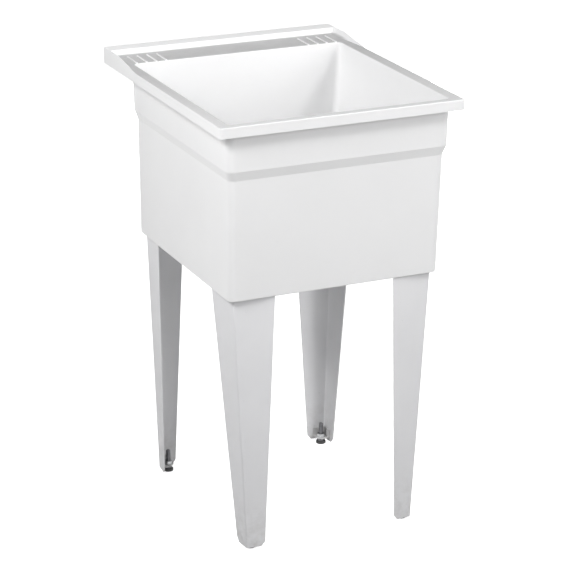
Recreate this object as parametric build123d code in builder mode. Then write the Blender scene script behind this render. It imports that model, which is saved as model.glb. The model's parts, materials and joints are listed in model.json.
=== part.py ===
"""Free-standing utility laundry sink: a one-piece moulded tub on four tapered steel legs.

Millimetres, +Z up, +X to the right seen from the front, +Y towards the wall.
The origin is on the floor, under the middle of the rim.
"""

from build123d import *

import os
from math import asin, cos, degrees, radians, sin, tan

os.makedirs("parts", exist_ok=True)

# ---------------------------------------------------------------- driving dimensions
# Rim
rim_width = 508.0  # side to side, over the skirt
rim_depth = 606.0  # front to back, over the skirt
rim_height = 883.5  # floor to the top of the rim
rim_skirt = 20.9  # height of the rim's outer face
rim_wall = 4.5  # thickness of the turned-down skirt
rim_plate = 7.0  # thickness of the ledges and the deck at their outer edge
rim_corner = 4.0  # radius of the rim's upright corners
rim_nose = 2.0  # rounding along the rim's top edge
ledge_slope_start = 4.0  # flat left along the rim's edge before the ledges fall to the bowl
ledge_fall = 0.6  # how far the ledges and the deck fall to the bowl
bowl_roll = 3.0  # radius that rolls the ledges over into the bowl
brink_flat = 0.5  # level strip between the ledges' fall and that radius

# Raised lip across the back, with a wing down each side
lip_height = 12.6
lip_base = 41.0  # foot of the back lip's cove, from the back of the rim
lip_cove = 7.0
lip_cove_sweep = 75.0  # degrees of the cove before the lip's front face
lip_land_fall = 1.3  # how far the top land falls to the front
lip_nose = 2.5  # rounding of the land's front edge
wing_base = 17.0
wing_cove = 15.0
wing_cove_sweep = 74.0
wing_shoulder = 78.0  # back of the rim to the place where the wing starts to fall
wing_foot = 181.0  # back of the rim to the place where the wing meets the rim

# Soap ribs at each end of the deck
rib_count = 4
rib_pitch = 21.0
rib_inset = 33.0  # centre of the outermost rib from the side of the rim
rib_width = 3.2
rib_height = 2.2
rib_back = 53.0  # back end of the ribs, from the back of the rim
rib_front = 106.5  # front end of the ribs, from the back of the rim

# Tub body, outside
ledge_side = 21.5  # side of the rim to the body's side
ledge_front = 16.5  # front of the rim to the body's front
deck_depth = 97.6  # back of the rim to the body's back
collar_depth = 93.7  # rim top to the top of the step
collar_corner = 14.0
collar_draft = 1.4
step_height = 18.8
step_inset = 5.8  # from the bottom of the collar
taper_side = 3.4  # from the bottom of the step to the bottom of the tub
taper_front = 9.6
taper_back = 0.6
foot_corner = 13.0
tub_depth = 354.5  # rim top to the bottom edge of the tub
foot_round = 2.0
step_round = 3.0
skirt_wall = 2.5  # thickness of the skirt round the bottom

# Bowl, inside
mouth_wall = 3.5  # thickness of the bowl's wall at the rim
step_wall = 2.8  # at the bottom of the step
floor_wall = 7.5  # at the floor
mouth_back = 6.0  # how much thicker the back wall is at the rim
step_back = 2.2  # and at the bottom of the step
floor_rise = 25.5  # bottom edge of the tub to the floor of the bowl at its edges
bowl_corner = 9.0  # radius of the bowl's upright corners, at the rim
bowl_corner_low = 24.0  # and at the floor
bowl_floor_round = 20.0
floor_thickness = 10.0
floor_dish = 5.0  # fall of the floor to the drain
floor_dish_radius = 175.0

# Legs
leg_gap = 0.4  # between the flanges' free ends and the inside of the tub's skirt
leg_sheet = 2.0
leg_clear = 4.6  # bottom of the legs above the floor
leg_flare = 5.0  # degrees that each flange opens beyond square
front_lean_side = 30.0  # how far the front feet stand inboard of their tops, sideways
front_lean_end = 0.5  # and front to back
back_lean_side = 17.5
back_lean_end = 12.0
flange_top = 86.5  # flange width at the top of the leg
flange_foot = 38.5
leg_bend = 4.0  # outer radius of the bend
clip_width = 7.0  # clipped bottom corners of the flanges
clip_height = 9.0
tab_reach = 72.0  # top tab, from the leg's outer faces
tab_clip = 34.0
tab_sheet = 2.5

# Leg fasteners
boss_diameter = 17.0
boss_height = 3.0
boss_corner = 19.0  # first boss from the leg's outer faces
boss_spacing = 39.0
pilot_depth = 11.0
screw_diameter = 5.5
screw_clearance = 0.1  # on diameter, in the pilot hole
screw_length = 14.0
screw_head = 10.0  # across flats
screw_head_height = 4.0
tab_hole = 7.0
washer_diameter = 16.0
washer_thickness = 1.2

# Feet
bracket_sheet = 2.0
bracket_gap = 0.1
bracket_reach = 28.0  # from the leg's outer faces
bracket_height = 18.0
bracket_floor = 12.0  # underside of the bracket above the floor
bracket_clip = 9.0
stud_inset = 16.5  # stud's axis from the leg's outer faces
stud_diameter = 9.5
stud_pitch = 1.5
stud_top = 46.0
stud_clearance = 0.1  # on diameter, in the nut
bracket_hole = 11.0
nut_flats = 15.0
nut_height = 8.0
pad_diameter = 21.0
pad_height = 5.5
pad_socket = 8.0
pad_socket_depth = 3.0
pad_clearance = 0.1  # on diameter, round the stud's pin
pad_chamfer = 0.8
collar_flats = 13.0
stop_gap = 0.3  # between moving faces that come to rest on each other
leveller_travel = 20.0

# Drain
drain_back = 0.0  # drain's axis behind the middle of the bowl
drain_hole = 50.0
drain_boss_diameter = 92.0
drain_boss_height = 6.0
flange_diameter = 78.0
flange_recess = 3.5
flange_fit = 1.0  # round the flange, in its recess
flange_thickness = 2.5
flange_round = 1.0
shank_diameter = 47.7
shank_bore = 38.0
shank_end = 54.0  # bottom of the shank below the underside of the bowl
mouth_diameter = 44.0
mouth_depth = 9.0
grid_drop = 22.0  # top of the cross bars below the flange
grid_height = 4.0
grid_width = 3.0
gasket_thickness = 1.5
gasket_inset = 2.0  # inside the flange's edge
drain_washer_diameter = 68.0
drain_washer_thickness = 3.0
friction_thickness = 1.0
lock_nut_diameter = 66.0
lock_nut_height = 9.0
lock_nut_lugs = 6
lock_nut_lug = 5.0  # how far they stand out
lock_nut_lug_width = 7.0
thread_clearance = 0.1  # on diameter
relief_drop = 1.0  # thread relief of the shank, below the lock nut
relief_width = 2.0
relief_depth = 0.6
washer_clearance = 0.6  # on diameter

# Stopper
stopper_top = 47.0
stopper_rim = 3.0
stopper_foot = 39.0
stopper_depth = 8.0
stopper_gap = 0.3
eye_diameter = 9.0
eye_width = 3.0
eye_height = 9.0
eye_hole = 3.6
ring_wire = 2.0
ring_diameter = 24.0

# ---------------------------------------------------------------- heights and places
half_width = rim_width / 2
half_depth = rim_depth / 2
collar_half = half_width - ledge_side
collar_front = half_depth - ledge_front
collar_back = half_depth - deck_depth
step_total = collar_draft + step_inset
foot_half = collar_half - step_total - taper_side
foot_front = collar_front - step_total - taper_front
foot_back = collar_back - step_total - taper_back
skirt_bottom = rim_height - rim_skirt
plate_bottom = rim_height - rim_plate
collar_bottom = rim_height - collar_depth
step_bottom = collar_bottom - step_height
tub_bottom = rim_height - tub_depth
bowl_floor = tub_bottom + floor_rise
underside = bowl_floor - floor_thickness
lip_top = rim_height + lip_height
drain_y = (foot_back - foot_front) / 2 + drain_back
drain_seat = bowl_floor - floor_dish  # lowest point of the dished floor
boss_face = underside - boss_height
leg_top = boss_face
drain_face = underside - drain_boss_height  # underside of the thick floor round the drain
recess_diameter = flange_diameter + 2 * flange_fit
corners = {
    "front_left": (-1, -1),
    "front_right": (1, -1),
    "back_left": (-1, 1),
    "back_right": (1, 1),
}


def leg_corner(side, end, height):
    """Where the leg's outer corner stands at a height, before its bend is rounded."""
    fall = (leg_top - height) / (leg_top - leg_clear)
    inset = skirt_wall + leg_gap + flange_top * sin(radians(leg_flare))
    front = end < 0
    x = foot_half - inset - (front_lean_side if front else back_lean_side) * fall
    y = (foot_front if front else foot_back) - inset - (front_lean_end if front else back_lean_end) * fall
    return side * x, end * y


def flange_ways(side, end):
    """The level directions of the leg's front or back flange and of its side flange."""
    along, out = cos(radians(leg_flare)), sin(radians(leg_flare))
    return (-side * along, end * out), (side * out, -end * along)


def corner_points(side, end, height, points):
    """Points given by their distances inside the leg's outer faces, at a height."""
    x, y = leg_corner(side, end, height)
    across, inward = flange_ways(side, end)
    spread = cos(radians(2 * leg_flare))
    return [
        (x + (u * across[0] + v * inward[0]) / spread, y + (u * across[1] + v * inward[1]) / spread)
        for u, v in points
    ]


def flange_width(height):
    """Width of both flanges at a height: they taper straight down to the foot."""
    rise = (height - leg_clear) / (leg_top - leg_clear)
    return flange_foot + (flange_top - flange_foot) * rise


# Where the legs' screws stand, three for each leg
screw_pattern = [
    (boss_corner, boss_corner),
    (boss_corner + boss_spacing, boss_corner),
    (boss_corner, boss_corner + boss_spacing),
]
washer_face = leg_top - tab_sheet - washer_thickness  # underside of the washers
screw_places = [
    place for side, end in corners.values() for place in corner_points(side, end, leg_top, screw_pattern)
]


# Where the levellers stand, one in each foot
stud_places = {
    place: corner_points(side, end, bracket_floor, [(stud_inset, stud_inset)])[0]
    for place, (side, end) in corners.items()
}


def tab_outline(near, reach, clip):
    """A square tab in a corner, from near to reach along both sides, its free corner clipped."""
    return [(near, near), (reach, near), (reach, reach - clip), (reach - clip, reach), (near, reach)]


def disc_plan(plane, diameter):
    """A round section on a plane."""
    with BuildSketch(plane) as plan:
        Circle(diameter / 2)
    return plan.sketch


def rounded_plan(half, front, back, radius, height):
    """One level plan of the tub: a rounded rectangle, longer in front than behind."""
    with BuildSketch(Plane.XY.offset(height)) as plan:
        with Locations((0, (back - front) / 2)):
            RectangleRounded(2 * half, front + back, radius)
    return plan.sketch


def angle_plan(side, end, height, inset, width, sheet, bend):
    """One level plan of an angle section that hugs the leg's outer corner.

    inset is its outer faces' distance inside the leg's own, width is measured along the
    flanges from the leg's corner, and bend is the outer radius of its corner.
    """
    a, b, c = inset, inset + sheet, width * cos(radians(2 * leg_flare))
    outline = [(a, a), (c, a), (c, b), (b, b), (b, c), (a, c)]
    points = corner_points(side, end, height, outline)
    with BuildSketch(Plane.XY.offset(height)) as plan:
        with BuildLine():
            Polyline(*points, close=True)
        make_face()
        near = plan.vertices().sort_by_distance((points[0][0], points[0][1], height))
        fillet(near[0], bend)
        inner = plan.vertices().sort_by_distance((points[3][0], points[3][1], height))
        fillet(inner[0], max(bend - sheet, 0.5))
    return plan.sketch


# ---------------------------------------------------------------- the tub's helpers
def inside_plan(half, front, back, inset, corner, height, thicker=0):
    """A level plan inset from the outside of the tub's body, and by some more at the back."""
    return rounded_plan(half - inset, front - inset, back - inset - thicker, corner, height)


with BuildPart() as bowl_hollow:
    loft(
        sections=[
            inside_plan(foot_half, foot_front, foot_back, floor_wall, bowl_corner_low, bowl_floor),
            inside_plan(
                collar_half, collar_front, collar_back,
                step_wall + step_total, bowl_corner, step_bottom, step_back,
            ),
            inside_plan(collar_half, collar_front, collar_back, mouth_wall, bowl_corner, rim_height, mouth_back),
            inside_plan(collar_half, collar_front, collar_back, mouth_wall, bowl_corner, lip_top, mouth_back),
        ],
        ruled=True,
    )
    fillet(bowl_hollow.faces().sort_by(Axis.Z)[0].edges(), bowl_floor_round)

with BuildPart() as soap_rib:
    with BuildSketch(Plane.YZ) as rib_side:
        with BuildLine():
            Polyline(
                (half_depth - rib_back, rim_height - rim_plate / 2),
                (half_depth - rib_back, rim_height + rib_height - ledge_fall / 2),
                (half_depth - rib_front, rim_height + rib_height - ledge_fall),
                (half_depth - rib_front, rim_height - rim_plate / 2),
                close=True,
            )
        make_face()
    extrude(amount=rib_width / 2, both=True)
    fillet(soap_rib.faces().sort_by(Axis.Z)[-1].edges(), rib_width * 0.45)

# The skin that the rim and its lips stay inside, with its upright corners and its top rounded
with BuildPart() as rim_envelope:
    with BuildSketch(Plane.XY.offset(skirt_bottom)):
        RectangleRounded(rim_width, rim_depth, rim_corner)
    extrude(amount=rim_skirt + lip_height)
    fillet(rim_envelope.faces().sort_by(Axis.Z)[-1].edges(), rim_nose)


def wing_section(nose):
    """The side wings' section at their full height, on the plane where they start to fall."""
    start = half_width - wing_base
    end = (
        start + wing_cove * sin(radians(wing_cove_sweep)),
        rim_height + wing_cove * (1 - cos(radians(wing_cove_sweep))),
    )
    top = end[0] + (lip_top - end[1]) / tan(radians(wing_cove_sweep))
    with BuildSketch(Plane.XZ.offset(wing_shoulder - half_depth)) as section:
        with BuildLine():
            CenterArc((start, rim_height + wing_cove), wing_cove, -90, wing_cove_sweep)
            Polyline(
                end,
                (top, lip_top),
                (half_width, lip_top),
                (half_width, plate_bottom),
                (start, plate_bottom),
                (start, rim_height),
            )
        make_face()
        if nose:
            fillet(section.vertices().group_by(Axis.Z)[-1].sort_by(Axis.X)[-1], nose)
        mirror(about=Plane.YZ)
    return section.sketch.faces()


with BuildPart() as rim_lips:
    # Back lip: a cove up from the deck, a steep face, then a land that rises to the back edge
    with BuildSketch(Plane.YZ.offset(-half_width)) as lip_section:
        with BuildLine():
            foot = (half_depth - lip_base, rim_height)
            cove_end = (
                foot[0] + lip_cove * sin(radians(lip_cove_sweep)),
                rim_height + lip_cove * (1 - cos(radians(lip_cove_sweep))),
            )
            land_front = lip_top - lip_land_fall
            land_edge = cove_end[0] + (land_front - cove_end[1]) / tan(radians(lip_cove_sweep))
            CenterArc((foot[0], rim_height + lip_cove), lip_cove, -90, lip_cove_sweep)
            Polyline(
                cove_end,
                (land_edge, land_front),
                (half_depth, lip_top),
                (half_depth, plate_bottom),
                (foot[0], plate_bottom),
                foot,
            )
        make_face()
        fillet(lip_section.vertices().sort_by_distance((-half_width, land_edge, land_front))[0], lip_nose)
    extrude(amount=rim_width)
    # Wings: the same lip, thinner, down both sides
    extrude(wing_section(0), amount=wing_shoulder, dir=(0, 1, 0))
    add(rim_envelope, mode=Mode.INTERSECT)
    # and a ramp at the front end of each
    ramp = Vector(0, wing_shoulder - wing_foot, -lip_height)
    extrude(wing_section(rim_nose), amount=ramp.length, dir=tuple(ramp.normalized()))

# ---------------------------------------------------------------- tub
with BuildPart() as tub:
    # Rim blank
    with BuildSketch(Plane.XY.offset(skirt_bottom)):
        RectangleRounded(rim_width, rim_depth, rim_corner)
    extrude(amount=rim_skirt)
    fillet(tub.faces().sort_by(Axis.Z)[-1].edges(), rim_nose)
    add(rim_lips)
    # Turned-down skirt: the rim is hollow underneath
    with BuildSketch(Plane.XY.offset(skirt_bottom)):
        RectangleRounded(rim_width - 2 * rim_wall, rim_depth - 2 * rim_wall, rim_corner / 2)
    extrude(amount=rim_skirt - rim_plate, mode=Mode.SUBTRACT)
    # Body below the rim
    loft(
        sections=[
            rounded_plan(foot_half, foot_front, foot_back, foot_corner, tub_bottom),
            inside_plan(collar_half, collar_front, collar_back, step_total, collar_corner, step_bottom),
            inside_plan(collar_half, collar_front, collar_back, collar_draft, collar_corner, collar_bottom),
            inside_plan(collar_half, collar_front, collar_back, 0, collar_corner, plate_bottom + 1),
        ],
        ruled=True,
    )
    # Step and bottom edge, rounded
    for height, radius in ((collar_bottom, step_round), (step_bottom, step_round), (tub_bottom, foot_round)):
        level = tub.edges().filter_by(Plane.XY).filter_by(lambda e: abs(e.center().Z - height) < 0.01)
        fillet(level, radius)
    # Ledges and deck fall to the bowl
    brink_width = bowl_roll + brink_flat
    loft(
        sections=[
            inside_plan(
                collar_half, collar_front, collar_back,
                mouth_wall - brink_width, bowl_corner + brink_width, rim_height - ledge_fall, mouth_back,
            ),
            rounded_plan(
                half_width - wing_base - 0.5, half_depth - ledge_slope_start,
                half_depth - lip_base - 0.5, bowl_corner, rim_height,
            ),
        ],
        ruled=True,
        mode=Mode.SUBTRACT,
    )
    add(bowl_hollow, mode=Mode.SUBTRACT)
    brink = tub.faces().filter_by(Axis.Z).filter_by(
        lambda f: abs(f.center().Z - rim_height + ledge_fall) < 0.01
    )
    fillet(brink[0].inner_wires()[0].edges(), bowl_roll)
    # Soap ribs
    ribs = [side * (half_width - rib_inset - i * rib_pitch) for side in (-1, 1) for i in range(rib_count)]
    with Locations(*[(x, 0) for x in ribs]):
        add(soap_rib)
    # Underneath: the skirt round the bottom is hollow
    with BuildSketch(Plane.XY.offset(tub_bottom)):
        with Locations((0, (foot_back - foot_front) / 2)):
            RectangleRounded(
                2 * (foot_half - skirt_wall), foot_front + foot_back - 2 * skirt_wall, foot_corner - skirt_wall
            )
    extrude(amount=underside - tub_bottom, mode=Mode.SUBTRACT)
    # Bosses for the legs' screws
    with BuildSketch(Plane.XY.offset(boss_face)):
        with Locations(*screw_places):
            Circle(boss_diameter / 2)
    extrude(amount=boss_height + floor_thickness / 2)
    with BuildSketch(Plane.XY.offset(boss_face)):
        with Locations(*screw_places):
            Circle((screw_diameter + screw_clearance) / 2)
    extrude(amount=pilot_depth, mode=Mode.SUBTRACT)
    # Seat of the drain, and the floor's fall to it
    with BuildSketch(Plane.XY.offset(drain_face)):
        with Locations((0, drain_y)):
            Circle(drain_boss_diameter / 2)
    extrude(amount=drain_boss_height + (drain_seat - underside) / 2)
    with Locations((0, drain_y, drain_seat)):
        Cone(
            bottom_radius=recess_diameter / 2,
            top_radius=floor_dish_radius,
            height=floor_dish,
            align=(Align.CENTER, Align.CENTER, Align.MIN),
            mode=Mode.SUBTRACT,
        )
    with Locations((0, drain_y, drain_seat - flange_recess)):
        Cylinder(
            recess_diameter / 2,
            2 * flange_recess,
            align=(Align.CENTER, Align.CENTER, Align.MIN),
            mode=Mode.SUBTRACT,
        )
    with Locations((0, drain_y, drain_face)):
        Cylinder(
            drain_hole / 2,
            bowl_floor - drain_face,
            align=(Align.CENTER, Align.CENTER, Align.MIN),
            mode=Mode.SUBTRACT,
        )

tub.part.label = "tub"
export_step(tub.part, "parts/tub.step")


# ---------------------------------------------------------------- legs
def clip_plan(side, end, across):
    """The triangle cut off a flange's bottom free corner, on the flange's own plane."""
    way = flange_ways(side, end)[0 if across else 1]
    face = Plane((*leg_corner(side, end, leg_clear), leg_clear), x_dir=(*way, 0), z_dir=(way[1], -way[0], 0))
    with BuildSketch(face) as plan:
        with BuildLine():
            Polyline(
                (flange_foot - 1.2 * clip_width, -0.2 * clip_height),
                (flange_foot + 0.4 * clip_width, 1.4 * clip_height),
                (flange_foot + clip_width, -0.2 * clip_height),
                close=True,
            )
        make_face()
    return plan.sketch


for place, (side, end) in corners.items():
    with BuildPart() as leg:
        loft(
            sections=[
                angle_plan(side, end, z, 0, flange_width(z), leg_sheet, leg_bend)
                for z in (leg_clear, leg_top)
            ],
            ruled=True,
        )
        for across in (True, False):
            extrude(clip_plan(side, end, across), amount=2 * leg_bend, both=True, mode=Mode.SUBTRACT)
        # Tab at the top, screwed up against the bosses
        with BuildSketch(Plane.XY.offset(leg_top)):
            with BuildLine():
                Polyline(
                    *corner_points(side, end, leg_top, tab_outline(leg_sheet / 2, tab_reach, tab_clip)),
                    close=True,
                )
            make_face()
            with Locations(*corner_points(side, end, leg_top, screw_pattern)):
                Circle(tab_hole / 2, mode=Mode.SUBTRACT)
        extrude(amount=-tab_sheet)
    leg.part.label = f"leg_{place}"
    export_step(leg.part, f"parts/leg_{place}.step")

# ---------------------------------------------------------------- screws and washers of the legs
with BuildPart() as leg_washers:
    with BuildSketch(Plane.XY.offset(washer_face)):
        with Locations(*screw_places):
            Circle(washer_diameter / 2)
            Circle((screw_diameter + washer_clearance) / 2, mode=Mode.SUBTRACT)
    extrude(amount=washer_thickness)
leg_washers.part.label = "leg_washers"
export_step(leg_washers.part, "parts/leg_washers.step")

with BuildPart() as leg_screws:
    with BuildSketch(Plane.XY.offset(washer_face)):
        with Locations(*screw_places):
            Circle(screw_diameter / 2)
    extrude(amount=screw_length)
    chamfer(leg_screws.edges().group_by(Axis.Z)[-1], screw_diameter / 4)
    with BuildSketch(Plane.XY.offset(washer_face)):
        with Locations(*screw_places):
            RegularPolygon(screw_head / 2, 6, major_radius=False)
    extrude(amount=-screw_head_height)
leg_screws.part.label = "leg_screws"
export_step(leg_screws.part, "parts/leg_screws.step")

# ---------------------------------------------------------------- feet
bracket_inset = leg_sheet + bracket_gap
bracket_bend = max(leg_bend - bracket_inset, 0.5)
for place, (side, end) in corners.items():
    with BuildPart() as foot_bracket:
        loft(
            sections=[
                angle_plan(side, end, z, bracket_inset, bracket_reach, bracket_sheet, bracket_bend)
                for z in (bracket_floor, bracket_floor + bracket_height)
            ],
            ruled=True,
        )
        with BuildSketch(Plane.XY.offset(bracket_floor)):
            with BuildLine():
                Polyline(
                    *corner_points(
                        side, end, bracket_floor,
                        tab_outline(bracket_inset + bracket_sheet / 2, bracket_reach, bracket_clip),
                    ),
                    close=True,
                )
            make_face()
            with Locations(stud_places[place]):
                Circle(bracket_hole / 2, mode=Mode.SUBTRACT)
        extrude(amount=bracket_sheet)
    foot_bracket.part.label = f"foot_bracket_{place}"
    export_step(foot_bracket.part, f"parts/foot_bracket_{place}.step")

with BuildPart() as weld_nuts:
    with BuildSketch(Plane.XY.offset(bracket_floor + bracket_sheet)):
        with Locations(*stud_places.values()):
            RegularPolygon(nut_flats / 2, 6, major_radius=False)
            Circle((stud_diameter + stud_clearance) / 2, mode=Mode.SUBTRACT)
    extrude(amount=nut_height)
weld_nuts.part.label = "weld_nuts"
export_step(weld_nuts.part, "parts/weld_nuts.step")

collar_low = pad_height + stop_gap
collar_high = bracket_floor - stop_gap
for place in corners:
    with BuildPart() as leveller_stud:
        with BuildSketch(Plane.XY.offset(collar_low)):
            with Locations(stud_places[place]):
                RegularPolygon(collar_flats / 2, 6, major_radius=False)
        extrude(amount=collar_high - collar_low)
        with BuildSketch(Plane.XY.offset(collar_high)):
            with Locations(stud_places[place]):
                Circle(stud_diameter / 2)
        extrude(amount=stud_top - collar_high)
        chamfer(leveller_stud.edges().group_by(Axis.Z)[-1], stud_pitch / 2)
        # Pin that the pad swivels on
        with BuildSketch(Plane.XY.offset(collar_low)):
            with Locations(stud_places[place]):
                Circle((pad_socket - pad_clearance) / 2)
        extrude(amount=-pad_socket_depth)
    leveller_stud.part.label = f"leveller_stud_{place}"
    export_step(leveller_stud.part, f"parts/leveller_stud_{place}.step")

for place in corners:
    with BuildPart() as foot_pad:
        with BuildSketch():
            with Locations(stud_places[place]):
                Circle(pad_diameter / 2)
        extrude(amount=pad_height)
        chamfer(foot_pad.edges().group_by(Axis.Z)[-1], pad_chamfer)
        with BuildSketch(Plane.XY.offset(pad_height)):
            with Locations(stud_places[place]):
                Circle(pad_socket / 2)
        extrude(amount=-pad_socket_depth, mode=Mode.SUBTRACT)
    foot_pad.part.label = f"foot_pad_{place}"
    export_step(foot_pad.part, f"parts/foot_pad_{place}.step")

# ---------------------------------------------------------------- drain
drain_plane = Plane((0, drain_y, 0))
flange_bottom = drain_seat - flange_recess + gasket_thickness
flange_top_face = flange_bottom + flange_thickness
shank_bottom = underside - shank_end
mouth_bottom = flange_top_face - mouth_depth
grid_top = flange_top_face - grid_drop
friction_face = drain_face - drain_washer_thickness
nut_face = friction_face - friction_thickness
nut_bottom = nut_face - lock_nut_height
relief_top = nut_bottom - relief_drop

with BuildPart() as drain_body:
    with BuildSketch(drain_plane.offset(flange_bottom)):
        Circle(flange_diameter / 2)
    extrude(amount=flange_thickness)
    fillet(drain_body.edges().group_by(Axis.Z)[-1], flange_round)
    with BuildSketch(drain_plane.offset(shank_bottom)):
        Circle(shank_diameter / 2)
    extrude(amount=flange_bottom - shank_bottom)
    with BuildSketch(drain_plane.offset(flange_top_face)):
        Circle(mouth_diameter / 2)
    extrude(amount=-mouth_depth, mode=Mode.SUBTRACT)
    with BuildSketch(drain_plane.offset(mouth_bottom)):
        Circle(shank_bore / 2)
    extrude(amount=shank_bottom - mouth_bottom, mode=Mode.SUBTRACT)
    # Cross bars, trimmed to the bore
    with BuildSketch(drain_plane.offset(grid_top)):
        Rectangle(shank_diameter, grid_width)
        Rectangle(grid_width, shank_diameter)
        Circle((shank_diameter + shank_bore) / 4, mode=Mode.INTERSECT)
    extrude(amount=-grid_height)
    # Thread relief between the lock nut's place and the trap's
    with BuildSketch(drain_plane.offset(relief_top)):
        Circle(shank_diameter / 2 + relief_depth)
        Circle(shank_diameter / 2 - relief_depth, mode=Mode.SUBTRACT)
    extrude(amount=-relief_width, mode=Mode.SUBTRACT)
drain_body.part.label = "drain_body"
export_step(drain_body.part, "parts/drain_body.step")

ring_bore = shank_diameter + washer_clearance
with BuildPart() as drain_gasket:
    with BuildSketch(drain_plane.offset(flange_bottom)):
        Circle(flange_diameter / 2 - gasket_inset)
        Circle(ring_bore / 2, mode=Mode.SUBTRACT)
    extrude(amount=-gasket_thickness)
drain_gasket.part.label = "drain_gasket"
export_step(drain_gasket.part, "parts/drain_gasket.step")

with BuildPart() as drain_washer:
    with BuildSketch(drain_plane.offset(drain_face)):
        Circle(drain_washer_diameter / 2)
        Circle(ring_bore / 2, mode=Mode.SUBTRACT)
    extrude(amount=-drain_washer_thickness)
drain_washer.part.label = "drain_washer"
export_step(drain_washer.part, "parts/drain_washer.step")

with BuildPart() as friction_ring:
    with BuildSketch(drain_plane.offset(friction_face)):
        Circle(lock_nut_diameter / 2)
        Circle(ring_bore / 2, mode=Mode.SUBTRACT)
    extrude(amount=-friction_thickness)
friction_ring.part.label = "friction_ring"
export_step(friction_ring.part, "parts/friction_ring.step")

with BuildPart() as drain_lock_nut:
    with BuildSketch(drain_plane.offset(nut_face)):
        Circle(lock_nut_diameter / 2)
        with PolarLocations(lock_nut_diameter / 2, lock_nut_lugs):
            Rectangle(2 * lock_nut_lug, lock_nut_lug_width)
        Circle((shank_diameter + thread_clearance) / 2, mode=Mode.SUBTRACT)
    extrude(amount=-lock_nut_height)
drain_lock_nut.part.label = "drain_lock_nut"
export_step(drain_lock_nut.part, "parts/drain_lock_nut.step")

# ---------------------------------------------------------------- stopper
stopper_seat = flange_top_face + stopper_gap
stopper_face = stopper_seat + stopper_rim
eye_centre = stopper_face + eye_height - eye_diameter / 2
with BuildPart() as stopper:
    with BuildSketch(drain_plane.offset(stopper_seat)):
        Circle(stopper_top / 2)
    extrude(amount=stopper_rim)
    fillet(stopper.edges().group_by(Axis.Z)[-1], stopper_rim / 3)
    loft(
        sections=[
            disc_plan(drain_plane.offset(flange_top_face - stopper_depth), stopper_foot),
            disc_plan(drain_plane.offset(stopper_seat), mouth_diameter - 2 * stopper_gap),
        ]
    )
    # Eye for the ring
    with BuildSketch(Plane.YZ.offset(-eye_width / 2)):
        with Locations((drain_y, eye_centre)):
            Circle(eye_diameter / 2)
            Rectangle(eye_diameter, eye_centre - stopper_seat, align=(Align.CENTER, Align.MAX))
        with Locations((drain_y, eye_centre)):
            Circle(eye_hole / 2, mode=Mode.SUBTRACT)
    extrude(amount=eye_width)
stopper.part.label = "stopper"
export_step(stopper.part, "parts/stopper.step")

# The ring lies over to the front, just clear of the stopper's edge
ring_fall = eye_centre - stopper_face - ring_wire / 2 - stopper_gap
ring_lean = degrees(asin(ring_fall / (stopper_top / 2)))
ring_reach = ring_diameter / 2
with BuildPart() as stopper_ring:
    with Locations(
        Location(
            (
                0,
                drain_y - ring_reach * cos(radians(ring_lean)),
                eye_centre - ring_reach * sin(radians(ring_lean)),
            ),
            (ring_lean, 0, 0),
        )
    ):
        Torus(ring_reach, ring_wire / 2)
stopper_ring.part.label = "stopper_ring"
export_step(stopper_ring.part, "parts/stopper_ring.step")

print("drain axis y", drain_y, "shank bottom", shank_bottom, "relief bottom", relief_top - relief_width)
print("flange top", flange_top_face, "grid bottom", grid_top - grid_height)
print("ring eye", eye_centre, "lean", ring_lean)
print("studs", stud_places)
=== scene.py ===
# %% [markdown]
# # A free-standing utility laundry sink
# A deep moulded tub stands on four flared steel legs, and each leg ends in a foot that screws
# up and down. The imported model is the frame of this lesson: its solids come in at their true
# places, in metres, with +Z up, +Y towards the wall and the origin on the floor under the
# middle of the rim. Their shapes stay as they are. What is left to do is to give each of them
# a finish, to cut the screw threads that the solids leave plain, and to light the whole thing
# as it would be lit in a small studio.

import json
import math

import bpy
from mathutils import Matrix, Vector


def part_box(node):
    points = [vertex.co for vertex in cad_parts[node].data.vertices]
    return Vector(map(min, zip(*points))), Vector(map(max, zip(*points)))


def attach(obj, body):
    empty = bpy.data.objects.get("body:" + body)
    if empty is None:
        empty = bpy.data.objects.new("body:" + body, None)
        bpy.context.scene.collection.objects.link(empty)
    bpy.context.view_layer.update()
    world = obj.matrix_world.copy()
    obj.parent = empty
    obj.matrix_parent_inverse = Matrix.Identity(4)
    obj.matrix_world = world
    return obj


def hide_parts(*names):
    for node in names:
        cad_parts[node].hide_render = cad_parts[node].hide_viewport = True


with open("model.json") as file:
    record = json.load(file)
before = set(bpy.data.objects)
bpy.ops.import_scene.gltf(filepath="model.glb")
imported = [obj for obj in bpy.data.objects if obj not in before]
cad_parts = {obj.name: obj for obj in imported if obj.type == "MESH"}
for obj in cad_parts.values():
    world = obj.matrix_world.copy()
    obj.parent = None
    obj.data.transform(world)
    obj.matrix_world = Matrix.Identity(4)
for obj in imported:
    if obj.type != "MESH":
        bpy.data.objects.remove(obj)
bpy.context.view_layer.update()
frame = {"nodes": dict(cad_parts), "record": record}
nodes = frame["nodes"]
print("solids in the frame:", len(nodes))

# %% [markdown]
# ## The camera
# The photograph looks down on the sink from its front left corner, from far away and through a
# long lens, so that upright edges stay almost parallel. One way to set this up is to turn the
# camera by hand until it looks right. Here its place, its turn and its focal length come from
# a fit instead: points on the tub's and the legs' outline were measured in the photograph, and
# the camera was solved so that the solids' corners fall on them.

# %% Place the camera
eye = Vector((-1.88262, -4.12936, 2.09022))
yaw, pitch, roll = (math.radians(angle) for angle in (-24.7184, -19.9474, 0.36))
focal_pixels = 2377.58
image_pixels = 570
sensor_mm = 36.0

ahead = Vector((-math.sin(yaw) * math.cos(pitch), math.cos(yaw) * math.cos(pitch), math.sin(pitch)))
level_right = ahead.cross(Vector((0, 0, 1))).normalized()
level_up = level_right.cross(ahead)
right = level_right * math.cos(roll) + level_up * math.sin(roll)
up = level_up * math.cos(roll) - level_right * math.sin(roll)

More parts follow.
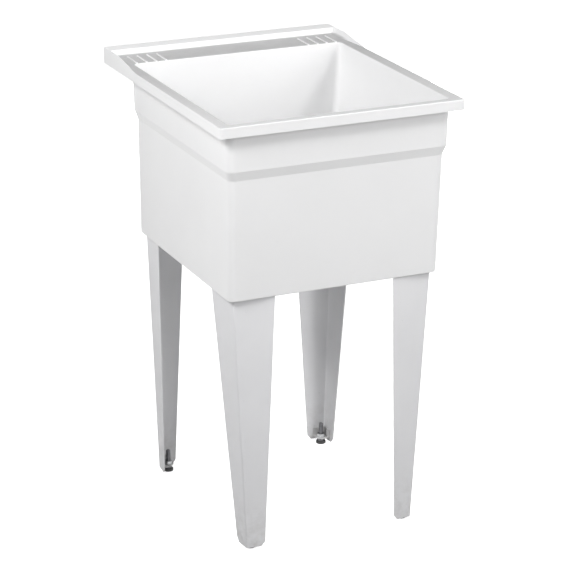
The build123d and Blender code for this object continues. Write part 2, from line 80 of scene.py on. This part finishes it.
camera_data = bpy.data.cameras.new("camera")
camera_data.sensor_width = sensor_mm
camera_data.lens = focal_pixels * sensor_mm / image_pixels
camera_data.shift_x = -0.5 / image_pixels
camera_data.shift_y = 0.5 / image_pixels
camera_data.clip_end = 200
camera = bpy.data.objects.new("camera", camera_data)
camera.matrix_world = Matrix.Translation(eye) @ Matrix((right, up, -ahead)).transposed().to_4x4()
bpy.context.scene.collection.objects.link(camera)
bpy.context.scene.camera = camera
bpy.context.scene.view_settings.view_transform = "Standard"
print("lens:", round(camera_data.lens, 1), "mm on a", sensor_mm, "mm sensor")

# %% [markdown]
# ## Writing node trees
# A finish in Blender is a tree of nodes, and so is a Geometry Nodes modifier. Both can be drawn
# by hand in an editor, but a script repeats them exactly. The two small classes below keep that
# readable: TreeWriter adds a node and links it in one line, and Finish adds what every surface
# here needs. All patterns read Object coordinates, so a grain has its real size in metres and
# doesn't slide when a foot moves.


# %% A writer for any node tree
class TreeWriter:
    """Adds nodes to a tree; a value for an input may be a number or another node's output."""

    def __init__(self, tree):
        self.tree = tree

    def put(self, kind, inputs=None, **settings):
        node = self.tree.nodes.new(kind)
        for name, value in settings.items():
            setattr(node, name, value)
        for socket, value in (inputs or {}).items():
            if isinstance(value, bpy.types.NodeSocket):
                self.tree.links.new(value, node.inputs[socket])
            else:
                node.inputs[socket].default_value = value
        return node

    def maths(self, operation, first, second=0.5):
        return self.put("ShaderNodeMath", {0: first, 1: second}, operation=operation).outputs[0]

    def product(self, first, *others):
        for other in others:
            first = self.maths("MULTIPLY", first, other)
        return first

    def fit(self, value, low, high, to_low=0.0, to_high=1.0):
        """Maps low..high of a value to another range and holds it there."""
        ends = {"From Min": low, "From Max": high, "To Min": to_low, "To Max": to_high}
        return self.put("ShaderNodeMapRange", {"Value": value, **ends}).outputs[0]


# %% A writer for one finish
class Finish(TreeWriter):
    """The node tree of one material, around its Principled shader."""

    def __init__(self, name):
        self.material = bpy.data.materials.new(name)
        self.material.use_nodes = True
        super().__init__(self.material.node_tree)
        self.shader = next(n for n in self.tree.nodes if n.type == "BSDF_PRINCIPLED")
        self.coordinates = self.put("ShaderNodeTexCoord").outputs
        self.place = self.coordinates["Object"]

    def stretched(self, x, y, z):
        return self.put("ShaderNodeMapping", {"Vector": self.place, "Scale": (x, y, z)}).outputs[0]

    def noise(self, scale, detail=3.0, rough=0.55, vector=None):
        amounts = {"Scale": scale, "Detail": detail, "Roughness": rough}
        amounts["Vector"] = vector or self.place
        return self.put("ShaderNodeTexNoise", amounts).outputs[0]

    def blend(self, amount, under, over):
        colours = [c if isinstance(c, bpy.types.NodeSocket) else (*c, 1.0) for c in (under, over)]
        inputs = {0: amount, 6: colours[0], 7: colours[1]}
        return self.put("ShaderNodeMix", inputs, data_type="RGBA").outputs[2]

    def along(self, letter):
        """The height above the floor, or the place along another axis."""
        return self.put("ShaderNodeSeparateXYZ", {0: self.place}).outputs[letter]

    def facing(self, letter):
        """How much the surface faces along an axis: 1 is straight along it."""
        return self.put("ShaderNodeSeparateXYZ", {0: self.coordinates["Normal"]}).outputs[letter]

    def done(self, colour, rough, relief, strength, depth, **constants):
        """Links colour, roughness and bump, and sets constants on the shader's own sockets."""
        sizes = {"Height": relief, "Strength": strength, "Distance": depth}
        bump = self.put("ShaderNodeBump", sizes).outputs[0]
        for socket, value in (("Base Color", colour), ("Roughness", rough), ("Normal", bump)):
            self.tree.links.new(value, self.shader.inputs[socket])
        for socket, value in constants.items():
            self.shader.inputs[socket.replace("_", " ")].default_value = value
        print("finish:", self.material.name, "with", len(self.tree.nodes), "nodes")
        return self.material


finishes = {}

# %% [markdown]
# ## The tub's white plastic
# The tub is one thick moulding. Its skin is semi-gloss and slightly wavy, as plastic is that
# shrank in its mould, with a fine orange peel on top. Use leaves faint scuffs. The deck and the
# top of the rim look greyer than the walls and than the raised lip behind them, because of how
# the light falls on level faces, and here that shade is painted into the colour. A picture could
# be painted for it, but a rule is shorter and fits every edge: where the rim's surface faces up
# and lies no higher than the deck, a painted grey shade is mixed in, and the bowl stays white.
# The painted shade darkens towards the back of the rim, and it climbs a little up the cove of
# each side wing.


# %% Where the painted shade of the rim's level faces lies
shaded_rim_top = 0.8862  # in metres: over the deck and the ledges, under the tops of ribs and lip
shade_fade = 0.0022  # the height over which the painted shade thins out, and its climb up a wing's cove
wing_side = (0.226, 0.236)  # sideways from the middle, where the wings' coves start
wing_back = (0.262, 0.250)  # towards the wall, where the coves run into the lip
bowl_mouth = (0.870, 0.876)  # the height under which the bowl gets no painted shade
front_to_back = (-0.27, 0.12)  # the stretch over which the painted shade darkens
shade_at_front, shade_at_back = 0.46, 0.72  # the painted shade's strength at both ends of that stretch


def painted_level_shade(f):
    """How much painted shade each point gets: none on walls, ribs, lip and bowl, most on the deck.
    """
    level = f.fit(f.facing("Z"), 0.62, 0.95)
    far_out = f.fit(f.maths("ABSOLUTE", f.along("X")), *wing_side)
    wing_cove = f.product(far_out, f.fit(f.along("Y"), *wing_back))
    top = f.maths("ADD", f.product(wing_cove, shade_fade), shaded_rim_top)
    low = f.maths("SUBTRACT", top, shade_fade)
    on_rim = f.product(f.fit(f.along("Z"), top, low), f.fit(f.along("Z"), *bowl_mouth))
    to_the_back = f.fit(f.along("Y"), *front_to_back, shade_at_front, shade_at_back)
    # patchy strength of the painted shade
    shade_patches = f.fit(f.noise(18.0, 6.0, 0.65), 0.25, 0.75, 0.88, 1.0)
    return f.product(level, on_rim, to_the_back, shade_patches)


# %% Moulded plastic
speck_colour = (0.62, 0.61, 0.58)
scuff_colour = (0.66, 0.65, 0.63)
# the grey of the painted shade on the rim's level faces
painted_shade_colour = (0.26, 0.26, 0.262)
worn_share = 0.10  # how strongly specks and scuffs show


def moulded_plastic(name, light, shade, gloss, level_shade=False):
    f = Finish(name)
    colour = f.blend(f.fit(f.noise(4.0, 4.0), 0.35, 0.65), light, shade)
    specks = f.fit(f.noise(420.0, 2.0), 0.70, 0.78)
    colour = f.blend(f.product(specks, worn_share), colour, speck_colour)
    scuffs = f.fit(f.noise(34.0, 6.0, 0.7, f.stretched(1.0, 9.0, 3.0)), 0.62, 0.74)
    colour = f.blend(f.product(scuffs, worn_share), colour, scuff_colour)
    # painted shade: the rim's level faces are greyed where they face up
    if level_shade:
        colour = f.blend(painted_level_shade(f), colour, painted_shade_colour)
    peel = f.noise(650.0, 2.0, 0.5)
    waves = f.noise(26.0, 2.0, 0.4)
    skin = f.maths("ADD", f.product(peel, 0.35), waves)
    handling = f.maths("ADD", f.noise(70.0, 4.0), f.product(scuffs, 0.5))
    rough = f.fit(handling, 0.3, 1.1, gloss, gloss + 0.2)
    return f.done(colour, rough, skin, 0.25, 0.0004, IOR=1.49)


finishes["tub_plastic"] = moulded_plastic(
    "tub_plastic", (0.90, 0.90, 0.903), (0.877, 0.877, 0.88), gloss=0.34, level_shade=True
)
finishes["nut_plastic"] = moulded_plastic(
    "nut_plastic", (0.74, 0.74, 0.73), (0.68, 0.68, 0.67), gloss=0.42
)

# %% [markdown]
# ## The legs' powder coat
# The legs and the small brackets in their feet are sheet steel under a satin powder coat. Such
# a coat melts into a fine pebble, finer than the plastic's, and drifts a little in tone. It turns
# greyer towards the bottom. Near the floor it gathers dust, and a few specks are knocked off
# anywhere. The grey and the dust follow the height, so the height drives them.


# %% Powder coat
dust_height = 0.12  # in metres above the floor
greying_height = 0.5  # below this the coat turns greyer towards the floor
dust_colour = (0.36, 0.33, 0.29)
greying_colour = (0.40, 0.40, 0.41)
chip_colour = (0.30, 0.30, 0.30)


def powder_coat(name, light, shade, gloss):
    f = Finish(name)
    height = f.along("Z")
    colour = f.blend(f.fit(f.noise(7.0, 4.0), 0.35, 0.65), light, shade)
    near_floor = f.fit(height, dust_height, 0.0)
    dust = f.product(near_floor, f.fit(f.noise(60.0, 6.0, 0.65), 0.40, 0.70))
    colour = f.blend(f.product(dust, 0.35), colour, dust_colour)
    # greyer towards the bottom
    bottom_greying = f.product(f.fit(height, greying_height, 0.0), 0.18)
    colour = f.blend(bottom_greying, colour, greying_colour)
    chips = f.fit(f.noise(240.0, 3.0, 0.6), 0.735, 0.745)
    colour = f.blend(f.product(chips, 0.35), colour, chip_colour)
    runs = f.noise(14.0, 4.0, 0.6, f.stretched(5.0, 5.0, 0.6))
    pebble = f.maths("ADD", f.noise(1100.0, 2.0, 0.5), f.product(runs, 0.6))
    dull = f.maths("ADD", f.noise(90.0, 3.0), f.product(dust, 0.4))
    rough = f.fit(dull, 0.3, 1.1, gloss, gloss + 0.25)
    return f.done(colour, rough, pebble, 0.2, 0.0002, IOR=1.5)


finishes["leg_paint"] = powder_coat("leg_paint", (0.84, 0.84, 0.852), (0.805, 0.805, 0.82), 0.38)
finishes["bracket_paint"] = powder_coat(
    "bracket_paint", (0.68, 0.68, 0.68), (0.62, 0.62, 0.62), 0.42
)

# %% [markdown]
# ## Bare and plated steel
# Screws, washers and nuts are zinc plated, the studs are blackened, and the drain and the
# stopper's ring are polished. All of them are metal, so one recipe serves: two tones in
# blotches, a trace of oxide in scattered spots, and a drawn grain that is long in one direction.
# Only the colours and the gloss change from one to the next.


# %% Steel
def steel(name, light, shade, oxide_tint, gloss):
    f = Finish(name)
    colour = f.blend(f.fit(f.noise(120.0, 5.0, 0.6), 0.38, 0.62), light, shade)
    oxide = f.fit(f.noise(300.0, 4.0, 0.7), 0.62, 0.72)
    colour = f.blend(f.product(oxide, 0.4), colour, oxide_tint)
    grain = f.noise(1.0, 3.0, 0.6, f.stretched(60.0, 60.0, 900.0))
    tarnish = f.maths("ADD", grain, f.product(oxide, 0.5))
    rough = f.fit(tarnish, 0.3, 1.2, gloss, gloss + 0.3)
    return f.done(colour, rough, grain, 0.15, 0.0001, Metallic=1.0)


for name, light, shade, oxide_tint, gloss in (
    # the zinc is darker than bright plating: painted shade for the nuts and screws that sit in
    # shadow under the legs and the tub
    ("zinc", (0.42, 0.425, 0.43), (0.32, 0.325, 0.33), (0.28, 0.26, 0.22), 0.42),
    ("dark_steel", (0.21, 0.21, 0.22), (0.14, 0.14, 0.145), (0.20, 0.15, 0.11), 0.40),
    ("drain_metal", (0.80, 0.80, 0.81), (0.68, 0.68, 0.69), (0.50, 0.48, 0.44), 0.12),
    ("ring_wire", (0.78, 0.78, 0.79), (0.66, 0.66, 0.67), (0.48, 0.45, 0.40), 0.15),
):
    finishes[name] = steel(name, light, shade, oxide_tint, gloss)

# %% [markdown]
# ## Rubber, fibre and the black feet
# The pads under the feet are black plastic from a spark-eroded mould, the stopper and the seals
# are rubber, and the ring between seal and nut is pressed fibre. They share a coarse, broken
# surface that takes the light softly and holds pale dust. Most of it hides under the tub.


# %% Soft and dark materials
def dusty(name, light, shade, dusting, gloss, grain=900.0):
    f = Finish(name)
    colour = f.blend(f.fit(f.noise(90.0, 5.0), 0.35, 0.65), light, shade)
    dust = f.fit(f.noise(260.0, 6.0, 0.7), 0.56, 0.72)
    colour = f.blend(f.product(dust, dusting), colour, (0.42, 0.40, 0.37))
    rough = f.fit(f.noise(150.0, 4.0), 0.3, 0.7, gloss, gloss + 0.15)
    return f.done(colour, rough, f.noise(grain, 4.0, 0.65), 0.4, 0.0003)


for name, light, shade, dusting, gloss, grain in (
    ("pad_plastic", (0.040, 0.040, 0.041), (0.055, 0.055, 0.056), 0.16, 0.55, 900.0),
    ("seal_rubber", (0.03, 0.03, 0.03), (0.05, 0.05, 0.05), 0.10, 0.60, 900.0),
    ("stopper_rubber", (0.035, 0.035, 0.036), (0.055, 0.055, 0.056), 0.14, 0.50, 900.0),
    ("fibre", (0.42, 0.30, 0.20), (0.34, 0.24, 0.15), 0.20, 0.75, 500.0),
):
    finishes[name] = dusty(name, light, shade, dusting, gloss, grain)

# %% [markdown]
# ## Dressing the solids
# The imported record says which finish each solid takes. The solids keep their own meshes, and
# only what fills their material slot changes.

# %% Give every solid its finish
finish_of = {part["node"]: part["material_slot"] for part in frame["record"]["subparts"]}
for node, solid in nodes.items():
    solid.data.materials.clear()
    solid.data.materials.append(finishes[finish_of[node]])
print("dressed:", len(nodes), "solids in", len(finishes), "finishes")

# %% [markdown]
# ## Growing what repeats
# A screw thread is one groove that winds on and on, and a hexagon is one flat six times over.
# Both could be drawn ring by ring in mesh code, but they follow a rule, so Geometry Nodes suit
# them: a flat grid is rolled round an axis, and a formula says how far from the axis each of
# its points lies. The class below sets up such a tree with named inputs. Its inputs are set by
# identifier before the tree first runs, and the result is kept as a plain mesh.


# %% A writer for Geometry Nodes
weld_distance = 2e-6  # in metres: the rolled grid's seam and ends are joined within this


class Growth(TreeWriter):
    """A Geometry Nodes tree whose inputs are sizes in metres, besides points and a material."""

    def __init__(self, name, **sizes):
        super().__init__(bpy.data.node_groups.new(name, "GeometryNodeTree"))
        sockets = self.tree.interface
        sockets.new_socket("Piece", in_out="OUTPUT", socket_type="NodeSocketGeometry")
        sockets.new_socket("Points", in_out="INPUT", socket_type="NodeSocketGeometry")
        sockets.new_socket("Finish", in_out="INPUT", socket_type="NodeSocketMaterial")
        for label, size in sizes.items():
            socket = sockets.new_socket(label, in_out="INPUT", socket_type="NodeSocketFloat")
            socket.default_value = size
        self.given = self.put("NodeGroupInput").outputs

    def rolled(self, columns, rows, low, high, radius_rule):
        """A grid rolled into a closed bar from low to high; the rule gives each point's radius."""
        counts = {"Vertices X": columns + 1, "Vertices Y": rows + 1}
        grid = self.put("GeometryNodeMeshGrid", counts)
        where = self.put("GeometryNodeInputPosition").outputs[0]
        flat = self.put("ShaderNodeSeparateXYZ", {0: where}).outputs
        turn = self.maths("ADD", flat["X"])
        rise = self.maths("ADD", flat["Y"])
        angle = self.product(turn, math.tau)
        height = self.maths("ADD", self.product(rise, self.maths("SUBTRACT", high, low)), low)
        # The first and the last row shrink to a point, which closes the ends
        half_row = 0.5 / rows
        after_first = self.maths("GREATER_THAN", rise, half_row)
        inside = self.product(after_first, self.maths("LESS_THAN", rise, 1 - half_row))
        radius = self.product(radius_rule(turn, height), inside)
        x = self.product(radius, self.maths("COSINE", angle))
        y = self.product(radius, self.maths("SINE", angle))
        place = self.put("ShaderNodeCombineXYZ", {0: x, 1: y, 2: height}).outputs[0]
        rolling = {"Geometry": grid.outputs[0], "Position": place}
        moved = self.put("GeometryNodeSetPosition", rolling).outputs[0]
        welding = {"Geometry": moved, "Distance": weld_distance}
        return self.put("GeometryNodeMergeByDistance", welding).outputs[0]

    def joined(self, *parts):
        join = self.put("GeometryNodeJoinGeometry")
        for part in parts:
            self.tree.links.new(part, join.inputs[0])
        return join.outputs[0]

    def close(self, piece):
        """Copies the piece to every point, realizes the copies and sets their material."""
        seeding = {"Points": self.given["Points"], "Instance": piece}
        copies = self.put("GeometryNodeInstanceOnPoints", seeding).outputs[0]
        real = self.put("GeometryNodeRealizeInstances", {"Geometry": copies}).outputs[0]
        dressing = {"Geometry": real, "Material": self.given["Finish"]}
        self.put("NodeGroupOutput", {0: self.put("GeometryNodeSetMaterial", dressing).outputs[0]})
        print("tree:", self.tree.name, "with", len(self.tree.nodes), "nodes")
        return self.tree


# %% The rule for a thread
flank = (0.06, 0.44)  # the part of half a pitch over which the groove falls from crest to root
tip_bevel = 0.9  # the depth of the bevel at the tip, in pitches


def threaded(growth, columns, low, high, crest, groove, pitch, turns, rows_per_turn):
    """A right-hand thread: its crest climbs one pitch in one turn, and its tip is bevelled."""

    def rule(turn, height):
        phase = growth.maths("SUBTRACT", growth.maths("DIVIDE", height, pitch), turn)
        depth = growth.fit(growth.maths("PINGPONG", phase, 0.5), *flank)
        cut = growth.maths("SUBTRACT", crest, growth.product(depth, groove))
        to_tip = growth.maths("SUBTRACT", high, height)
        at_tip = growth.maths("SUBTRACT", crest, growth.product(pitch, tip_bevel))
        return growth.maths("MINIMUM", cut, growth.maths("ADD", to_tip, at_tip))

    bar = growth.rolled(columns, turns * rows_per_turn, low, high, rule)
    return growth.put("GeometryNodeSetShadeSmooth", {"Geometry": bar}).outputs[0]


# %% The rule for a hexagon
half_flat = 1 / 12  # of a turn
corner_slope = 1.73  # how steeply the corners are turned off: 30 degrees to the end face
hexagon_columns = 36  # a whole number for each flat, so that the corners are kept sharp


def hexagonal(growth, rows, low, high, flats):
    """A hexagon bar, with its corners turned off at both ends as on a bought nut."""

    def rule(turn, height):
        one_flat = growth.maths("WRAP", turn, half_flat)
        one_flat.node.inputs[2].default_value = -half_flat
        half = growth.product(flats, 0.5)
        across = growth.maths("COSINE", growth.product(one_flat, math.tau))
        side = growth.maths("DIVIDE", half, across)
        from_low = growth.maths("SUBTRACT", height, low)
        to_end = growth.maths("MINIMUM", from_low, growth.maths("SUBTRACT", high, height))
        rise = growth.product(growth.maths("MAXIMUM", to_end, 0.0), corner_slope)
        return growth.maths("MINIMUM", side, growth.maths("ADD", half, rise))

    return growth.rolled(hexagon_columns, rows, low, high, rule)


# %% Run a tree
def grow(name, tree, places, finish, body, slot, node, **sizes):
    """Runs the tree on its points once, and keeps what it makes as a plain mesh on a body."""
    seeds = bpy.data.meshes.new(name + "_points")
    seeds.from_pydata(places, [], [])
    ground = bpy.data.objects.new(name + "_points", seeds)
    bpy.context.scene.collection.objects.link(ground)
    modifier = ground.modifiers.new("grow", "NODES")
    modifier.node_group = tree
    values = {"Finish": finish, **sizes}
    for socket in tree.interface.items_tree:
        if socket.in_out == "INPUT" and socket.name in values:
            modifier[socket.identifier] = values[socket.name]
    view = bpy.context.evaluated_depsgraph_get()
    mesh = bpy.data.meshes.new_from_object(ground.evaluated_get(view), depsgraph=view)
    bpy.data.objects.remove(ground)
    piece = bpy.data.objects.new(name, mesh)
    bpy.context.scene.collection.objects.link(piece)
    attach(piece, body)
    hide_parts(node)
    mesh.calc_loop_triangles()
    print("grown:", name, "with", len(mesh.loop_triangles), "triangles")
    return piece


# %% [markdown]
# ## The levelling studs
# Each foot has a dark stud that screws up into a nut inside the leg. A wrench turns it by the
# hexagon under the bracket, and its pin swivels in the pad on the floor. In the photograph the
# threads show as fine dark bars inside the back legs. The solid for it is a plain bar of the
# thread's outside diameter, so the tree below grows the same stud with a real groove: threaded
# bar, hexagon and pin, each a rolled grid, joined in one piece.

# %% The stud's tree
overlap = 0.0003  # how far the threaded bar starts inside the hexagon, so that they join
stud = Growth(
    "levelling_stud",
    thread_diameter=0.0095,
    groove=0.0008,
    pitch=0.0015,
    flats=0.0129,
    pin_diameter=0.0079,
    pin_low=0.0028,
    hexagon_low=0.0058,
    hexagon_high=0.0117,
    tip=0.0455,
)
size = stud.given
stud_bar = threaded(
    stud,
    columns=28,
    low=stud.maths("SUBTRACT", size["hexagon_high"], overlap),
    high=size["tip"],
    crest=stud.product(size["thread_diameter"], 0.5),
    groove=size["groove"],
    pitch=size["pitch"],
    turns=23,
    rows_per_turn=10,
)
stud_hexagon = hexagonal(stud, 24, size["hexagon_low"], size["hexagon_high"], size["flats"])


def pin_radius(turn, height):
    """The same all the way up and round: a plain pin."""
    return stud.product(size["pin_diameter"], 0.5)


stud_pin = stud.rolled(24, 6, size["pin_low"], size["hexagon_high"], pin_radius)
stud_tree = stud.close(stud.joined(stud_bar, stud_hexagon, stud_pin))

# %% Four studs, each from its own solid's place
for corner in ("front_left", "front_right", "back_left", "back_right"):
    node = f"leveller_stud_{corner}"
    low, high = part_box(node)
    middle = (low + high) / 2
    foot = [(middle.x, middle.y, 0.0)]
    look = finishes["dark_steel"]
    place_of = {"body": f"stud_{corner}", "slot": "dark_steel", "node": node}
    ends = {"pin_low": low.z, "tip": high.z}
    grow(f"threaded_stud_{corner}", stud_tree, foot, look, **place_of, **ends)

# %% [markdown]
# ## The leg screws
# Three hexagon screws hold each leg's tab up against the bosses under the bowl, with a washer
# under each head. One screw is grown, and the tree copies it to twelve points. The points come
# from the solids themselves: every screw's solid is a separate heap of corners, so corners that
# lie close together are gathered, and the middle of each heap is one screw's axis.


# %% Find the twelve places
heap_reach = 0.012  # in metres: more than a screw's head is wide, less than their spacing


def heap_middles(mesh):
    """The middles of the heaps that a mesh's corners fall into, seen from above."""
    heaps = []  # the first corner of each heap, and the least and greatest of all its corners
    for corner in mesh.vertices:
        spot = corner.co.xy
        near = next((h for h in heaps if (h[0] - spot).length < heap_reach), None)
        if near is None:
            heaps.append([spot.copy(), spot.copy(), spot.copy()])
            continue
        for axis in (0, 1):
            near[1][axis] = min(near[1][axis], spot[axis])
            near[2][axis] = max(near[2][axis], spot[axis])
    return [(low + high) / 2 for _, low, high in heaps]


screw_axes = heap_middles(nodes["leg_screws"].data)
screw_low, screw_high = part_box("leg_screws")
print("screws found:", len(screw_axes))

# %% The screw's tree
screw = Growth(
    "leg_screw",
    thread_diameter=0.0055,
    groove=0.0008,
    pitch=0.0018,
    flats=0.0099,
    length=screw_high.z - screw_low.z,
    head_height=0.004,
)
size = screw.given
screw_bar = threaded(
    screw,
    columns=20,
    low=screw.product(size["head_height"], 0.9),  # starts inside the head, so that they join
    high=size["length"],
    crest=screw.product(size["thread_diameter"], 0.5),
    groove=size["groove"],
    pitch=size["pitch"],
    turns=8,
    rows_per_turn=9,
)
screw_head = hexagonal(screw, 20, 0.0, size["head_height"], size["flats"])
screw_tree = screw.close(screw.joined(screw_bar, screw_head))

# %% Twelve screws in one piece
heads = [(spot.x, spot.y, screw_low.z) for spot in screw_axes]
look = finishes["zinc"]
grow("threaded_leg_screws", screw_tree, heads, look, "sink", "zinc", "leg_screws")

# %% [markdown]
# ## A white studio
# The photograph shows the sink cut out on white, with no horizon. A brighter floor would throw
# light up at the tub, and the dark underside would be lost. So the white is only for the eye:
# Light Path tells a ray from the camera, from a glossy surface or through a clear one apart
# from a ray that carries light, and only the first kind sees white. The floor keeps a plain
# pale colour, on which the sink's shadow falls.


# %% Which rays see the backdrop
def seen_directly(writer):
    """1 for rays from the eye, off a glossy surface or through a clear one, and 0 for the rest."""
    path = writer.put("ShaderNodeLightPath").outputs
    either = writer.maths("MAXIMUM", path["Is Glossy Ray"], path["Is Transmission Ray"])
    return writer.maths("MAXIMUM", path["Is Camera Ray"], either)


# %% The floor
f = Finish("floor")
pale, paler = (0.90, 0.90, 0.90), (0.93, 0.93, 0.93)
floor_size = 80  # in metres, so that its edge is never seen
floor_drop = 0.0004  # a hair under the pads, so that the two faces don't share a plane

floor_colour = f.blend(f.fit(f.noise(1.2), 0.3, 0.7), paler, pale)
f.shader.inputs["Emission Color"].default_value = (1, 1, 1, 1)
away = f.put("ShaderNodeVectorMath", {0: f.place}, operation="LENGTH").outputs["Value"]
glow = f.fit(away, 1.0, 4.0, 0.72, 1.0)  # the lamps fade with distance, and the glow makes it up
f.tree.links.new(f.product(glow, seen_directly(f)), f.shader.inputs["Emission Strength"])
floor_rough = f.fit(f.noise(30.0), 0.3, 0.7, 0.7, 0.8)
floor_finish = f.done(floor_colour, floor_rough, f.noise(200.0), 0.1, 0.0001)

bpy.ops.mesh.primitive_plane_add(size=floor_size)
floor = bpy.context.active_object
floor.name = "floor"
floor.location.z = -floor_drop
floor.data.materials.append(floor_finish)
floor.visible_diffuse = False  # it throws no light up at the sink
floor.visible_shadow = False  # and it lets the weak light of the world below pass


# %% What the white floor gives back
def studio_world(from_below):
    """The soft light that a white sweep throws up, behind a backdrop of plain white."""
    world = bpy.data.worlds.new("studio")
    world.use_nodes = True
    w = TreeWriter(world.node_tree)
    way = w.put("ShaderNodeTexCoord").outputs["Generated"]
    z = w.put("ShaderNodeSeparateXYZ", {0: way}).outputs["Z"]
    below = w.product(w.maths("MINIMUM", z, 0.0), -from_below)
    strength = w.fit(seen_directly(w), 0.0, 1.0, below, 1.0)
    sky = w.tree.nodes["Background"]
    sky.inputs["Color"].default_value = (1, 1, 1, 1)
    w.tree.links.new(strength, sky.inputs["Strength"])
    return world


light_from_below = 0.575
bpy.context.scene.world = studio_world(light_from_below)

# %% [markdown]
# ## The lamps
# The rim throws a dark band on the front and on the left side, so the main light comes from
# high up. The left side is as bright as the front near the camera and falls off towards the
# wall, so its lamp hangs close. The inside of the tub is bright, with one dark wedge at its far
# right corner, so another strong lamp hangs high on the right. Wide and weak ones in front
# reach the legs. Each lamp is a soft box. Light adds up, so the share of each was solved from
# one picture per lamp and the tones of the photograph. The last lamp stands low behind the sink:
# the photograph doesn't show its light, but without it the back would be far too dark.

# %% Hang the lamps
lamps = (
    # name, place, aim height, width and height in metres, watts
    ("high_left", (-2.0, -0.9, 2.4), 0.80, (0.9, 0.9), 50.0),
    ("near_left", (-2.6, -1.2, 1.6), 0.90, (1.0, 1.0), 17.6),
    ("high_right", (1.9, -2.2, 3.7), 0.70, (0.9, 0.9), 59.0),
    ("near_front", (1.4, -2.4, 1.7), 0.75, (1.2, 1.2), 20.8),
    ("high_front", (2.4, -3.4, 3.0), 0.70, (2.0, 2.0), 9.0),
    ("wide_right", (3.4, -3.6, 1.6), 0.60, (2.6, 2.6), 44.7),
    ("overhead", (-0.2, 0.2, 3.6), 0.60, (2.4, 2.4), 7.5),
    ("wall_side", (1.2, 3.0, 0.42), 0.42, (1.6, 0.8), 55.0),  # lower than the deck, so it misses it
)
for name, place, aim_height, box, watts in lamps:
    lamp_data = bpy.data.lights.new(name, "AREA")
    lamp_data.shape = "RECTANGLE"
    lamp_data.size, lamp_data.size_y = box
    lamp_data.energy = watts
    lamp = bpy.data.objects.new(name, lamp_data)
    lamp.location = place
    aim = Vector((0, 0, aim_height)) - Vector(place)
    lamp.rotation_euler = aim.to_track_quat("-Z", "Y").to_euler()
    bpy.context.scene.collection.objects.link(lamp)
print("lamps:", len(lamps), "with", round(sum(lamp[-1] for lamp in lamps)), "watts in all")
